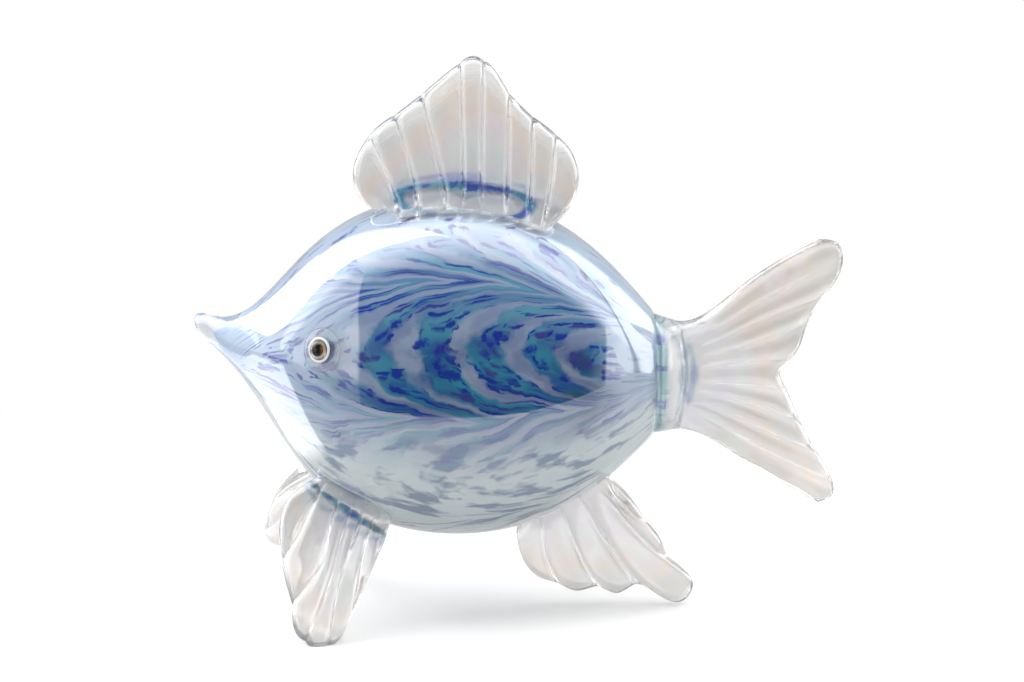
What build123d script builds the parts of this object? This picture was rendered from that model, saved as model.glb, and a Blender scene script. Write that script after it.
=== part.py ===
from build123d import *
import os
from math import atan2, cos, degrees, radians, sin

# Hollow glass fish that stands on three fins: nose towards -X, +Z up, the floor at Z = 0.
# All lengths are in millimetres. Every table of shares is a share of the sizes named beside it.

# The blown body
overall_length = 222.0
body_length = 157.5
body_height = 118.0
body_width = 93.0
belly_clearance = 27.0
nose_rise = 15.5
nose_bend_length = 50.0
nose_bead_radius = 4.5
neck_drop = 3.0

# The three glass layers of the body, from the outside in, and the hollow
casing_wall = 4.5
colour_wall = 1.5
bubble_wall = 3.0
solid_nose_length = 15.0
layer_tip_step = 4.0
layer_tip_room = 10.0
blow_hole_radius = 1.5

# Fins: tapered ribs side by side on a web that stops short of their tips, all pressed flat
fin_root_sink = 9.0
web_setback_share = 0.05
web_thickness_share = 0.75
end_root_share = 0.60

# Dorsal fin
dorsal_length = 76.0
dorsal_height = 48.0
dorsal_root_width = 19.0
dorsal_tip_width = 10.5
dorsal_flat_share = 0.76
dorsal_seat_share = 0.59
dorsal_foot_length = 50.0
dorsal_foot_width = 25.0
dorsal_foot_height = 9.0

# Tail fin
tail_span = 94.0
tail_root_width = 13.0
tail_tip_width = 9.5
tail_flat_share = 0.68
collar_overlap = 0.8
collar_length = 11.0

# Pair of pectoral fins, the front feet
pectoral_root_length = 33.0
pectoral_root_width = 14.0
pectoral_tip_width = 8.6
pectoral_flat_share = 0.78
pectoral_root_share = 0.312
pectoral_root_angle = 20.0
pectoral_tip_share = 0.258
stance_width = 94.0
right_fin_lead = 7.0
pectoral_foot_width = 15.0
pectoral_foot_height = 9.0

# Anal fin, the rear foot
anal_root_width = 15.0
anal_tip_width = 9.5
anal_flat_share = 0.74
anal_hub_share = 0.73
anal_hub_depth = 36.0
anal_first_angle = -3.0
anal_last_angle = 46.0
anal_stand_angle = 40.0

# Flat pads where the fins stand on the floor
pad_depth = 0.8

# Eyes, measured from the skin of the body outwards
eye_along_share = 0.288
eye_height = 13.5
eye_seat_radius = 7.4
eye_seat_rise = 1.9
eye_socket_floor = 0.4
eye_white_radius = 4.3
eye_white_top = 1.7
eye_white_rim = 0.9
eye_pupil_radius = 1.75
eye_pupil_depth = 0.8
eye_lens_radius = 3.6
eye_lens_height = 2.5

# Stations of the body: along its length, half its height and half its width
body_station_shares = (
    (0.026, 0.074, 0.092),
    (0.071, 0.125, 0.152),
    (0.123, 0.243, 0.275),
    (0.175, 0.418, 0.450),
    (0.253, 0.676, 0.690),
    (0.382, 0.907, 0.914),
    (0.566, 1.000, 1.000),
    (0.771, 0.873, 0.880),
    (0.901, 0.631, 0.656),
    (1.000, 0.357, 0.383),
)

# Ribs of the dorsal fin: root and tip along half its length, tip over its height, root over its sink
dorsal_rib_shares = (
    (-0.83, -0.86, 0.39, 0.89),
    (-0.58, -0.65, 0.55, -0.30),
    (-0.36, -0.44, 0.68, -1.00),
    (-0.15, -0.16, 0.87, -1.00),
    (0.06, 0.06, 1.00, -1.00),
    (0.24, 0.22, 0.91, -1.00),
    (0.43, 0.41, 0.68, -1.00),
    (0.63, 0.62, 0.53, -0.30),
    (0.84, 0.82, 0.37, 0.94),
)

# Ribs of the tail fin: root over half its span, tip along its length and over half its span
tail_rib_shares = (
    (0.26, 0.99, 0.92),
    (0.20, 0.98, 0.76),
    (0.13, 0.89, 0.50),
    (0.07, 0.79, 0.23),
    (0.00, 0.68, -0.02),
    (-0.07, 0.79, -0.28),
    (-0.13, 0.90, -0.56),
    (-0.20, 0.98, -0.79),
    (-0.26, 0.96, -0.91),
)

# Collar of the tail fin: along its length, and the size of the neck's end that is left there
collar_shares = (
    (0.00, 1.00),
    (0.45, 0.95),
    (0.80, 0.78),
    (1.00, 0.50),
)

# Ribs of a pectoral fin: place across its root, reach from the root to the floor
pectoral_rib_shares = (
    (-0.40, 0.56),
    (-0.26, 0.78),
    (-0.10, 0.96),
    (0.06, 1.00),
    (0.21, 0.84),
    (0.35, 0.46),
)

# Ribs of the anal fin: turn from the first angle to the last, reach from its hub to the floor
anal_rib_shares = (
    (0.00, 0.58),
    (0.21, 0.63),
    (0.41, 0.70),
    (0.64, 0.77),
    (0.88, 1.00),
    (1.00, 0.75),
)

# Places that follow from the sizes above
nose_x = -overall_length / 2
neck_x = nose_x + body_length
tail_length = overall_length / 2 - neck_x
axis_height = belly_clearance + body_height / 2
back_height = belly_clearance + body_height
layers_wall = casing_wall + colour_wall + bubble_wall
neck_share, neck_height_share, neck_width_share = body_station_shares[-1]
neck_half_height = neck_height_share * body_height / 2
neck_half_width = neck_width_share * body_width / 2
neck_height = axis_height - neck_drop
dorsal_sizes = (dorsal_root_width, dorsal_tip_width, dorsal_flat_share)
tail_sizes = (tail_root_width, tail_tip_width, tail_flat_share)
pectoral_sizes = (pectoral_root_width, pectoral_tip_width, pectoral_flat_share)
anal_sizes = (anal_root_width, anal_tip_width, anal_flat_share)


def centre_line(distance):
    """Height of the body's centre line at a distance behind the nose tip."""
    rise_share = max(0, 1 - distance / nose_bend_length) ** 2
    drop_share = max(0, 2 * distance / body_length - 1) ** 2
    return axis_height + nose_rise * rise_share - neck_drop * drop_share


def body_section(shares, depth):
    """Ellipse across the body at one station, at a depth under its skin."""
    along_share, height_share, width_share = shares
    distance = along_share * body_length
    place = Plane((nose_x + distance, 0, centre_line(distance)), x_dir=(0, 1, 0), z_dir=(1, 0, 0))
    half_width = width_share * body_width / 2 - depth
    half_height = height_share * body_height / 2 - depth
    with BuildSketch(place, mode=Mode.PRIVATE) as section:
        with BuildLine():
            EllipticalCenterArc((0, 0), half_width, half_height, start_angle=90, arc_size=360)
        make_face()
    return section.sketch


def body_form():
    """The whole outside of the body as one solid, with the rounded bead at the nose."""
    with BuildPart() as form:
        loft([body_section(shares, 0) for shares in body_station_shares])
        with Locations((nose_x + nose_bead_radius, 0, centre_line(nose_bead_radius))):
            Sphere(nose_bead_radius)
    return form.part


def layer_form(depth, tip_distance):
    """The inside of a glass layer: pointed behind the nose, open at the neck."""
    tip = Vertex(nose_x + tip_distance, 0, centre_line(tip_distance))
    first_distance = tip_distance + layer_tip_room
    inner = [shares for shares in body_station_shares if shares[0] * body_length > first_distance]
    with BuildPart() as form:
        loft([tip] + [body_section(shares, depth) for shares in inner])
    return form.part


def hollow_form(depth, tip_distance):
    """The air inside the body, drawn in to the blow hole at the neck."""
    tip = Vertex(nose_x + tip_distance, 0, centre_line(tip_distance))
    first_distance = tip_distance + layer_tip_room
    inner = [shares for shares in body_station_shares[:-1] if shares[0] * body_length > first_distance]
    neck_plane = Plane((neck_x, 0, neck_height), x_dir=(0, 1, 0), z_dir=(1, 0, 0))
    with BuildSketch(neck_plane, mode=Mode.PRIVATE) as blow_hole:
        Circle(blow_hole_radius)
    with BuildPart() as form:
        loft([tip] + [body_section(shares, depth) for shares in inner] + [blow_hole.sketch])
    return form.part


outside = body_form()
casing_inside = layer_form(casing_wall, solid_nose_length)
colour_inside = layer_form(casing_wall + colour_wall, solid_nose_length + layer_tip_step)
hollow = hollow_form(layers_wall, solid_nose_length + 2 * layer_tip_step)

with BuildPart() as clear_casing:
    add(outside)
    add(casing_inside, mode=Mode.SUBTRACT)

with BuildPart() as colour_layer:
    add(casing_inside)
    add(colour_inside, mode=Mode.SUBTRACT)

with BuildPart() as inner_bubble:
    add(colour_inside)
    add(hollow, mode=Mode.SUBTRACT)


def skin_point(start, direction):
    """Where a line from inside the body meets its skin, and the way the skin faces there."""
    found = [hit for face in outside.faces() for hit in face.find_intersection_points(Axis(start, direction))]
    outward = [hit for hit in found if (hit[0] - start).dot(Vector(*direction)) > 0]
    return outward[0]


def skin_at(x, direction):
    """The skin of the body as seen from a place on its centre line."""
    return skin_point(Vector(x, 0, centre_line(x - nose_x)), direction)


def rib_bar(root, tip, root_width, tip_width):
    """One rib in the XZ plane: a round bar that tapers from its root to its tip, both ball-shaped."""
    start = Vector(root[0], 0, root[1])
    run = Vector(tip[0], 0, tip[1]) - start
    root_radius, tip_radius = root_width / 2, tip_width / 2
    with BuildPart(mode=Mode.PRIVATE) as bar:
        with BuildSketch(Plane(start, x_dir=run, z_dir=(0, 1, 0))):
            with BuildLine():
                root_end = CenterArc((0, 0), root_radius, 180, -90)
                tip_end = CenterArc((run.length - tip_radius, 0), tip_radius, 90, -90)
                Line(root_end @ 1, tip_end @ 0)
                Line(tip_end @ 1, root_end @ 0)
            make_face()
        revolve(axis=Axis(start, run))
    return bar.part


def fin_blade(ribs, root_width, tip_width, flat_share):
    """Ribs side by side in the XZ plane with the web between them, pressed flat along Y."""
    edge = [tuple(Vector(*tip) + (Vector(*root) - Vector(*tip)) * web_setback_share)[:2] for root, tip in ribs]
    last = len(ribs) - 1
    with BuildPart() as blade:
        with BuildSketch(Plane.XZ):
            with BuildLine():
                Polyline(ribs[0][0], *edge, ribs[-1][0], close=True)
            make_face()
        extrude(amount=tip_width * web_thickness_share / 2, both=True)
        for number, (root, tip) in enumerate(ribs):
            root_share = end_root_share if number in (0, last) else 1
            add(rib_bar(root, tip, root_width * root_share, tip_width))
        scale(by=(1, flat_share, 1))
    return blade.part


def fin_foot(place, length, width, height):
    """Oval swelling of glass where a fin was pressed onto the body."""
    with BuildPart(mode=Mode.PRIVATE) as foot:
        Sphere(1)
        scale(by=(length / 2, width / 2, height))
    return place * foot.part


def dorsal_ribs():
    """Roots sunk in the back, apart from the two end lobes, which overhang it."""
    seat_x = nose_x + dorsal_seat_share * body_length
    for root_share, tip_share, height_share, lift_share in dorsal_rib_shares:
        root_x = seat_x + root_share * dorsal_length / 2
        tip_x = seat_x + tip_share * dorsal_length / 2
        skin, _ = skin_at(root_x, (0, 0, 1))
        yield (root_x, skin.Z + lift_share * fin_root_sink), (tip_x, back_height + height_share * dorsal_height)


with BuildPart() as dorsal_fin:
    add(fin_blade(list(dorsal_ribs()), *dorsal_sizes))
    dorsal_seat, _ = skin_at(nose_x + dorsal_seat_share * body_length, (0, 0, 1))
    add(fin_foot(Pos(dorsal_seat), dorsal_foot_length, dorsal_foot_width, dorsal_foot_height))
    add(outside, mode=Mode.SUBTRACT)


def tail_ribs():
    """Ribs that spread from the neck to the two lobes of the fork."""
    for root_share, along_share, rise_share in tail_rib_shares:
        root_z = neck_height + root_share * tail_span / 2
        yield (neck_x, root_z), (neck_x + along_share * tail_length, neck_height + rise_share * tail_span / 2)


def collar_form():
    """Rounded swelling of the tail fin over the end of the neck, a little wider than the neck."""
    with BuildPart() as collar:
        for along_share, size_share in collar_shares:
            place = Plane((neck_x + along_share * collar_length, 0, neck_height), x_dir=(0, 1, 0), z_dir=(1, 0, 0))
            with BuildSketch(place):
                Ellipse(
                    (neck_half_width + collar_overlap) * size_share,
                    (neck_half_height + collar_overlap) * size_share,
                )
        loft()
    return collar.part


with BuildPart() as tail_fin:
    add(fin_blade(list(tail_ribs()), *tail_sizes))
    add(collar_form())
    split(bisect_by=Plane((neck_x, 0, neck_height), z_dir=(1, 0, 0)), keep=Keep.TOP)


def pectoral_fin_form(lead):
    """Fin on the -Y side, a lead nearer to the nose: from the lower flank out and down to the floor."""
    root_x = nose_x + pectoral_root_share * body_length - lead
    down_and_out = (0, -sin(radians(pectoral_root_angle)), -cos(radians(pectoral_root_angle)))
    root, skin_normal = skin_at(root_x, down_and_out)
    ahead, _ = skin_at(root_x - pectoral_root_length / 2, down_and_out)
    behind, _ = skin_at(root_x + pectoral_root_length / 2, down_and_out)
    along = (behind - ahead).normalized()
    stand = Vector(nose_x + pectoral_tip_share * body_length - lead, -stance_width / 2, -pad_depth)
    reach = stand - root
    upright = (along * reach.dot(along) - reach).normalized()
    blade_place = Plane(root, x_dir=along, z_dir=upright).location
    skin_place = Plane(root, x_dir=along, z_dir=skin_normal).location
    ribs = []
    for across_share, reach_share in pectoral_rib_shares:
        across = across_share * pectoral_root_length
        tip = (across + reach.dot(along) * reach_share, reach.dot(upright) * reach_share)
        ribs.append(((across, fin_root_sink), tip))
    with BuildPart() as fin:
        add(blade_place * fin_blade(ribs, *pectoral_sizes))
        add(fin_foot(skin_place, pectoral_root_length, pectoral_foot_width, pectoral_foot_height))
        add(outside, mode=Mode.SUBTRACT)
        split(bisect_by=Plane.XY, keep=Keep.TOP)
    return fin.part


with BuildPart() as left_pectoral_fin:
    add(pectoral_fin_form(0))

with BuildPart() as right_pectoral_fin:
    add(pectoral_fin_form(right_fin_lead))
    mirror(about=Plane.XZ, mode=Mode.REPLACE)


def anal_ribs():
    """Ribs that fan out from a hub inside the belly; the one at the stand angle reaches the floor."""
    hub_x = nose_x + anal_hub_share * body_length
    hub_z = belly_clearance + anal_hub_depth
    full_reach = (hub_z + pad_depth) / cos(radians(anal_stand_angle))
    for turn_share, reach_share in anal_rib_shares:
        turn = radians(anal_first_angle + turn_share * (anal_last_angle - anal_first_angle))
        root_reach = anal_hub_depth / 2
        tip_reach = full_reach * reach_share
        root = (hub_x + root_reach * sin(turn), hub_z - root_reach * cos(turn))
        yield root, (hub_x + tip_reach * sin(turn), hub_z - tip_reach * cos(turn))


with BuildPart() as anal_fin:
    add(fin_blade(list(anal_ribs()), *anal_sizes))
    add(outside, mode=Mode.SUBTRACT)
    split(bisect_by=Plane.XY, keep=Keep.TOP)


def eye_frame(side):
    """Profile plane and axis of an eye: local X lies in the skin, local Y points away from the body."""
    eye_x = nose_x + eye_along_share * body_length
    place, outward = skin_point(Vector(eye_x, 0, axis_height + eye_height), (0, side, 0))
    across = outward.cross(Vector(0, 0, 1)).normalized()
    return Plane(place, x_dir=across, z_dir=across.cross(outward)), Axis(place, outward)


def dome_arc(radius, foot, top):
    """Arc from the rim of a ball-shaped dome up to its top on the axis."""
    rise = top - foot
    ball_radius = (radius ** 2 + rise ** 2) / (2 * rise)
    start = degrees(atan2(foot - top + ball_radius, radius))
    return CenterArc((0, top - ball_radius), ball_radius, start, 90 - start)


def eye_seat_form(side):
    """Low clear mound on the flank, with a round socket for the white disc."""
    profile, axis = eye_frame(side)
    with BuildPart() as seat:
        with BuildSketch(profile):
            with BuildLine():
                base = Line((0, -eye_seat_radius), (eye_seat_radius, -eye_seat_radius))
                side_line = Line(base @ 1, (eye_seat_radius, -eye_seat_rise))
                dome = dome_arc(eye_seat_radius, -eye_seat_rise, eye_seat_rise)
                Line(dome @ 1, base @ 0)
            make_face()
        revolve(axis=axis)
        add(outside, mode=Mode.SUBTRACT)
        with BuildSketch(profile):
            with Locations((eye_white_radius / 2, eye_socket_floor + eye_seat_rise / 2)):
                Rectangle(eye_white_radius, eye_seat_rise)
        revolve(axis=axis, mode=Mode.SUBTRACT)
    return seat.part


def eye_white_form(side):
    """Opaque white disc in the socket, with a round rim and a pocket for the pupil."""
    profile, axis = eye_frame(side)
    pocket_floor = eye_white_top - eye_pupil_depth
    with BuildPart() as white:
        with BuildSketch(profile):
            with BuildLine():
                floor = Line((0, eye_socket_floor), (eye_white_radius, eye_socket_floor))
                wall = Line(floor @ 1, (eye_white_radius, eye_white_top - eye_white_rim))
                rim = JernArc(wall @ 1, wall % 1, eye_white_rim, 90)
                top = Line(rim @ 1, (eye_pupil_radius, eye_white_top))
                pocket = Line(top @ 1, (eye_pupil_radius, pocket_floor))
                Polyline(pocket @ 1, (0, pocket_floor), floor @ 0)
            make_face()
        revolve(axis=axis)
    return white.part


def eye_pupil_form(side):
    """Dark disc let into the white, flush with its top."""
    profile, axis = eye_frame(side)
    with BuildPart() as pupil:
        with BuildSketch(profile):
            with Locations((eye_pupil_radius / 2, eye_white_top - eye_pupil_depth / 2)):
                Rectangle(eye_pupil_radius, eye_pupil_depth)
        revolve(axis=axis)
    return pupil.part


def eye_lens_form(side):
    """Clear dome over the pupil and most of the white."""
    profile, axis = eye_frame(side)
    with BuildPart() as lens:
        with BuildSketch(profile):
            with BuildLine():
                base = Line((0, eye_white_top), (eye_lens_radius, eye_white_top))
                dome = dome_arc(eye_lens_radius, eye_white_top, eye_white_top + eye_lens_height)
                Line(dome @ 1, base @ 0)
            make_face()
        revolve(axis=axis)
    return lens.part


left, right = -1, 1

with BuildPart() as left_eye_seat:
    add(eye_seat_form(left))

with BuildPart() as left_eye_white:
    add(eye_white_form(left))

with BuildPart() as left_eye_pupil:
    add(eye_pupil_form(left))

with BuildPart() as left_eye_lens:
    add(eye_lens_form(left))

with BuildPart() as right_eye_seat:
    add(eye_seat_form(right))

with BuildPart() as right_eye_white:
    add(eye_white_form(right))

with BuildPart() as right_eye_pupil:
    add(eye_pupil_form(right))

with BuildPart() as right_eye_lens:
    add(eye_lens_form(right))

os.makedirs("parts", exist_ok=True)
for piece, name in (
    (clear_casing, "clear_casing"),
    (colour_layer, "colour_layer"),
    (inner_bubble, "inner_bubble"),
    (dorsal_fin, "dorsal_fin"),
    (tail_fin, "tail_fin"),
    (left_pectoral_fin, "left_pectoral_fin"),
    (right_pectoral_fin, "right_pectoral_fin"),
    (anal_fin, "anal_fin"),
    (left_eye_seat, "left_eye_seat"),
    (left_eye_white, "left_eye_white"),
    (left_eye_pupil, "left_eye_pupil"),
    (left_eye_lens, "left_eye_lens"),
    (right_eye_seat, "right_eye_seat"),
    (right_eye_white, "right_eye_white"),
    (right_eye_pupil, "right_eye_pupil"),
    (right_eye_lens, "right_eye_lens"),
):
    piece.part.label = name
    export_step(piece.part, f"parts/{name}.step")
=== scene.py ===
from math import cos, pi, radians, sin, sqrt
import bpy
import bmesh
import numpy as np
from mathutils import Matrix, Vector


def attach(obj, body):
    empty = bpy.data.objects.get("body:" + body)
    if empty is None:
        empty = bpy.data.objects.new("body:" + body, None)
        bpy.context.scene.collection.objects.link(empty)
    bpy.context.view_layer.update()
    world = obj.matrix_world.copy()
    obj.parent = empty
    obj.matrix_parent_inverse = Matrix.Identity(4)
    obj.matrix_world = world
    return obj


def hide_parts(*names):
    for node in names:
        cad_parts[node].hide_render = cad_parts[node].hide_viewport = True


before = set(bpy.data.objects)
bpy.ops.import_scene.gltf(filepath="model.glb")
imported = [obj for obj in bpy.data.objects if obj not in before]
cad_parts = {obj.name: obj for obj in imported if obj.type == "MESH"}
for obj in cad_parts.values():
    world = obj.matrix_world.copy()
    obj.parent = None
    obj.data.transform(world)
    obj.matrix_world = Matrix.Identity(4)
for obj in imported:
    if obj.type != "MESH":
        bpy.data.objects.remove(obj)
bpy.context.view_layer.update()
mm = 0.001
weld = 2e-5  # points nearer than this are one
sliver = 1e-6  # edges shorter than this are taken out
paperWhite = (1, 1, 1, 1)
print("frame loaded:", len(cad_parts), "nodes")


# Small helpers for node trees

class Wire:  # a node's output, which can be added, multiplied and so on
    def __init__(self, socket):
        self.socket, self.tree = socket, socket.id_data

    __add__ = lambda a, b: calc("ADD", a, b)
    __sub__ = lambda a, b: calc("SUBTRACT", a, b)
    __rsub__ = lambda a, b: calc("SUBTRACT", b, a)
    __mul__ = lambda a, b: calc("MULTIPLY", a, b)
    __truediv__ = lambda a, b: calc("DIVIDE", a, b)
    __pow__ = lambda a, b: calc("POWER", a, b)
    __gt__ = lambda a, b: calc("GREATER_THAN", a, b)
    __abs__ = lambda a: calc("ABSOLUTE", a)


class Outputs:  # a node's outputs, by number or name
    def __init__(self, node):
        self.node = node

    def __getitem__(self, key):
        return Wire(self.node.outputs[key])


def fill(node, inputs):  # sets or links a node's inputs
    for key, value in inputs.items():
        if isinstance(value, Wire):
            value.tree.links.new(value.socket, node.inputs[key])
        else:
            node.inputs[key].default_value = value


def put(tree, kind, inputs=None, **settings):  # one new node, gives its outputs
    node = tree.nodes.new(kind)
    for name, value in settings.items():
        setattr(node, name, value)
    fill(node, inputs or {})
    return Outputs(node)


def blankTree(owner):  # the empty node tree of a material or world
    owner.use_nodes = True
    owner.node_tree.nodes.clear()
    return owner.node_tree


def calc(operation, *values):  # one Math node
    tree = next(value.tree for value in values if isinstance(value, Wire))
    return put(tree, "ShaderNodeMath", dict(enumerate(values)), operation=operation)[0]


def larger(a, b):
    return calc("MAXIMUM", a, b)


def between(share, first, second):  # from the first value at 0 to the second at 1
    return share * (second - first) + first


def ramp(value, low, high, outLow=0.0, outHigh=1.0):  # smooth step between two values
    steps = dict(enumerate((value, low, high, outLow, outHigh)))
    return put(value.tree, "ShaderNodeMapRange", steps, interpolation_type="SMOOTHSTEP")[0]


def arc(degrees):  # angles in radians
    return [radians(angle) for angle in degrees]


def blend(share, first, second):  # two colours mixed
    return put(share.tree, "ShaderNodeMix", {0: share, 6: first, 7: second}, data_type="RGBA")[2]


def noise(place, scale, detail, **more):
    return put(place.tree, "ShaderNodeTexNoise", {"Vector": place, "Scale": scale, "Detail": detail, **more})


def vectorCalc(operation, vector, more):  # one Vector Math node
    return put(vector.tree, "ShaderNodeVectorMath", {0: vector, **more}, operation=operation)


def split(vector):  # x, y and z
    return put(vector.tree, "ShaderNodeSeparateXYZ", {0: vector})


def stored(tree, name):  # a value kept on a mesh's points
    return put(tree, "ShaderNodeAttribute", attribute_name=name)["Fac"]


def newTree(name, **sockets):  # a Geometry Nodes tree, with its inputs' names by kind
    tree = bpy.data.node_groups.new(name, "GeometryNodeTree")
    for kind, labels in dict(Geometry=["Geometry"], **sockets).items():
        for label in labels:
            tree.interface.new_socket(label, in_out="INPUT", socket_type="NodeSocket" + kind)
    tree.interface.new_socket("Geometry", in_out="OUTPUT", socket_type="NodeSocketGeometry")
    return tree, Outputs(tree.nodes.new("NodeGroupInput")), tree.nodes.new("NodeGroupOutput")


def endTree(result, geometry, material):  # welded, real and dressed
    for kind, more in (("MergeByDistance", {"Distance": weld}), ("RealizeInstances", {}),
                       ("SetMaterial", {"Material": material})):
        geometry = put(geometry.tree, "GeometryNode" + kind, {"Geometry": geometry, **more})[0]
    fill(result, {0: geometry})


def addTree(piece, tree, values):  # a Geometry Nodes modifier with its inputs set by identifier
    modifier = piece.modifiers.new(tree.name, "NODES")
    modifier.node_group = tree
    for item in tree.interface.items_tree:
        if item.item_type == "SOCKET" and item.in_out == "INPUT" and item.name in values:
            modifier[item.identifier] = values[item.name]


# Small helpers for shapes

def unit(vector):
    return vector / np.linalg.norm(vector)


def splineThrough(keys, values):  # natural cubic spline through the given points
    keys, values = np.asarray(keys, float), np.asarray(values, float)
    values = values.reshape(len(keys), -1)
    count = len(keys)
    matrix, right = np.eye(count), np.zeros_like(values)
    for i in range(1, count - 1):
        before, after = keys[i] - keys[i - 1], keys[i + 1] - keys[i]
        matrix[i, i - 1:i + 2] = before, 2 * (before + after), after
        right[i] = 6 * ((values[i + 1] - values[i]) / after - (values[i] - values[i - 1]) / before)
    bend = np.linalg.solve(matrix, right)

    def at(key):
        key = np.atleast_1d(np.asarray(key, float))
        i = np.clip(np.searchsorted(keys, key) - 1, 0, count - 2)
        span = keys[i + 1] - keys[i]
        a, b = ((keys[i + 1] - key) / span)[:, None], ((key - keys[i]) / span)[:, None]
        curved = ((a ** 3 - a) * bend[i] + (b ** 3 - b) * bend[i + 1]) * (span ** 2)[:, None] / 6
        return a * values[i] + b * values[i + 1] + curved
    return at


def newObject(name, data):
    made = bpy.data.objects.new(name, data)
    bpy.context.scene.collection.objects.link(made)
    return made


def meshFrom(name, points, faces):
    mesh = bpy.data.meshes.new(name)
    mesh.from_pydata([tuple(p) for p in points], [], faces)
    return newObject(name, mesh)


def quads(strips, count, stripsMeet=True, countMeets=True):  # faces of points that lie strip by strip
    return [(i * count + j, i * count + (j + 1) % count,
             (i + 1) % strips * count + (j + 1) % count, (i + 1) % strips * count + j)
            for i in range(strips if stripsMeet else strips - 1)
            for j in range(count if countMeets else count - 1)]


def cleanUp(piece):  # doubles merged, faces outwards, smooth
    work = bmesh.new()
    work.from_mesh(piece.data)
    bmesh.ops.remove_doubles(work, verts=work.verts, dist=weld)
    bmesh.ops.dissolve_degenerate(work, edges=work.edges, dist=sliver)
    bmesh.ops.recalc_face_normals(work, faces=work.faces)
    for face in work.faces:
        face.smooth = True
    work.to_mesh(piece.data)
    work.free()


def settle(piece, name):  # turns a node modifier's result into a plain mesh
    graph = bpy.context.evaluated_depsgraph_get()
    made = bpy.data.meshes.new_from_object(piece.evaluated_get(graph), depsgraph=graph)
    piece.modifiers.clear()
    piece.data = made
    made.name = piece.name = name
    cleanUp(piece)


def standIn(piece, node):  # the piece is shown in place of a CAD node
    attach(piece, "root")
    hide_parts(node)


# Camera, lamps and stage

# place and lens in millimetres, angles in degrees, clip in metres
view = dict(place=(0.0, -1141.3, 370.8), down=13.62, turn=0.117, lens=120.5, sensor=36, clip=(0.05, 20))

cameraData = bpy.data.cameras.new("viewCamera")
cameraData.lens, cameraData.sensor_width = view["lens"], view["sensor"]
cameraData.clip_start, cameraData.clip_end = view["clip"]
camera = newObject("viewCamera", cameraData)
camera.location = Vector(view["place"]) * mm
camera.rotation_euler = (radians(90 - view["down"]), 0, radians(view["turn"]))
bpy.context.scene.camera = camera

# angles in degrees, 0 towards the camera, -90 on the left; lengths in metres
# lamps: turn, rise, width, height and watts
studio = dict(lamps=(("leftSoftbox", -98, 33, 0.95, 0.85, 7.2), ("rightSoftbox", 107, 36, 0.9, 1.0, 7.0),
                     ("topSoftbox", 0, 82, 1.1, 0.55, 4.2)),
              lampReach=0.9, aim=(0, 0, 0.09), ambient=0.45, edge=1.2,
              openLeft=-41, openLeftLean=0.63, openRight=68, openRightLean=0.92, openRightDrop=10,
              openDark=0.03, leftBox=-97, leftVeil=1.3, leftBright=4.8, rightFrame=14.5, rightVeil=1.6,
              rightBright=2.6, frameEdges=(-1.5, -0.7, -0.3, 0.3), frameDark=0.95, below=(-9, -3),
              belowVeil=0.4, tent=0.5, tentEdge=(132, 142), topFront=(60, 88), topBack=(104, 122),
              topBright=2.4, lengthways=(0.97, -0.235), backdrop=(0.26, 0.80), besideBackdrop=0.3,
              floorHalf=1.3, floorFront=-0.215, floorBack=1.6, floorGrey=(0.8, 0.8, 0.8, 1), floorGlow=0.22,
              whiteFrom=0.17, whiteTo=0.34, sheenLeft=(-0.12, -0.15, -0.6, -0.9), sheenNear=(-0.038, -0.030),
              sheenDeep=(0.06, 0.10), sheenBright=1.8, floorDim=0.38)

for lampName, turn, rise, wide, tall, watts in studio["lamps"]:
    lampData = bpy.data.lights.new(lampName, "AREA")
    lampData.shape, lampData.size, lampData.size_y, lampData.energy = "RECTANGLE", wide, tall, watts
    lamp = newObject(lampName, lampData)
    turn, rise = arc((turn, rise))
    away = Vector((sin(turn) * cos(rise), -cos(turn) * cos(rise), sin(rise)))
    lamp.location = Vector(studio["aim"]) + away * studio["lampReach"]
    lamp.rotation_euler = away.to_track_quat("Z", "Y").to_euler()
    lamp.visible_camera = False
    lamp.visible_glossy = False  # the world below gives the mirror images of the softboxes

world = bpy.data.worlds.new("studioTent")
bpy.context.scene.world = world
tree = blankTree(world)
rays = put(tree, "ShaderNodeLightPath")
x, y, z = split(put(tree, "ShaderNodeTexCoord")["Generated"])
aside = calc("ARCTAN2", x, y * -1.0)
height = calc("ARCSINE", z)
tilt = calc("ARCTAN2", z, y * -1.0)  # 90 degrees is overhead
leftEdge = larger(height, 0.0) ** 2.0 * -studio["openLeftLean"] + radians(studio["openLeft"])
rise = larger(height + radians(studio["openRightDrop"]), 0.0) ** 2.0
pastLeft = aside - leftEdge
pastRight = aside - (rise * studio["openRightLean"] + radians(studio["openRight"]))
edge, leftBox, rightFrame = arc((studio["edge"], studio["leftBox"], studio["rightFrame"]))
opening = ramp(pastLeft, -edge, edge) * ramp(pastRight, -edge, edge, 1.0, 0.0)
leftSide = ramp(aside, leftBox - edge, leftBox + edge, studio["leftBright"], studio["leftVeil"])
rightSide = ramp(pastRight, rightFrame, rightFrame + edge, studio["rightVeil"], studio["rightBright"])
outerFrom, outerTo, innerFrom, innerTo = (rightFrame + edge * step for step in studio["frameEdges"])
onRight = aside > 0.0
frameLine = ramp(pastRight, outerFrom, outerTo) * ramp(pastRight, innerFrom, innerTo, 1.0, 0.0) * onRight
sides = between(onRight, leftSide, rightSide)
sides = sides * ramp(height, *arc(studio["below"]), studio["belowVeil"], 1.0)  # dimmer under the table's edge
sides = between(ramp(abs(aside), *arc(studio["tentEdge"])), sides, studio["tent"])
mirrored = between(opening, sides, studio["openDark"])
overhead = ramp(tilt, *arc(studio["topFront"]), 0.0, studio["topBright"])
mirrored = larger(mirrored, overhead * ramp(tilt, *arc(studio["topBack"]), 1.0, 0.0))
mirrored = mirrored * (frameLine * -studio["frameDark"] + 1.0)  # frame of the right softbox
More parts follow.
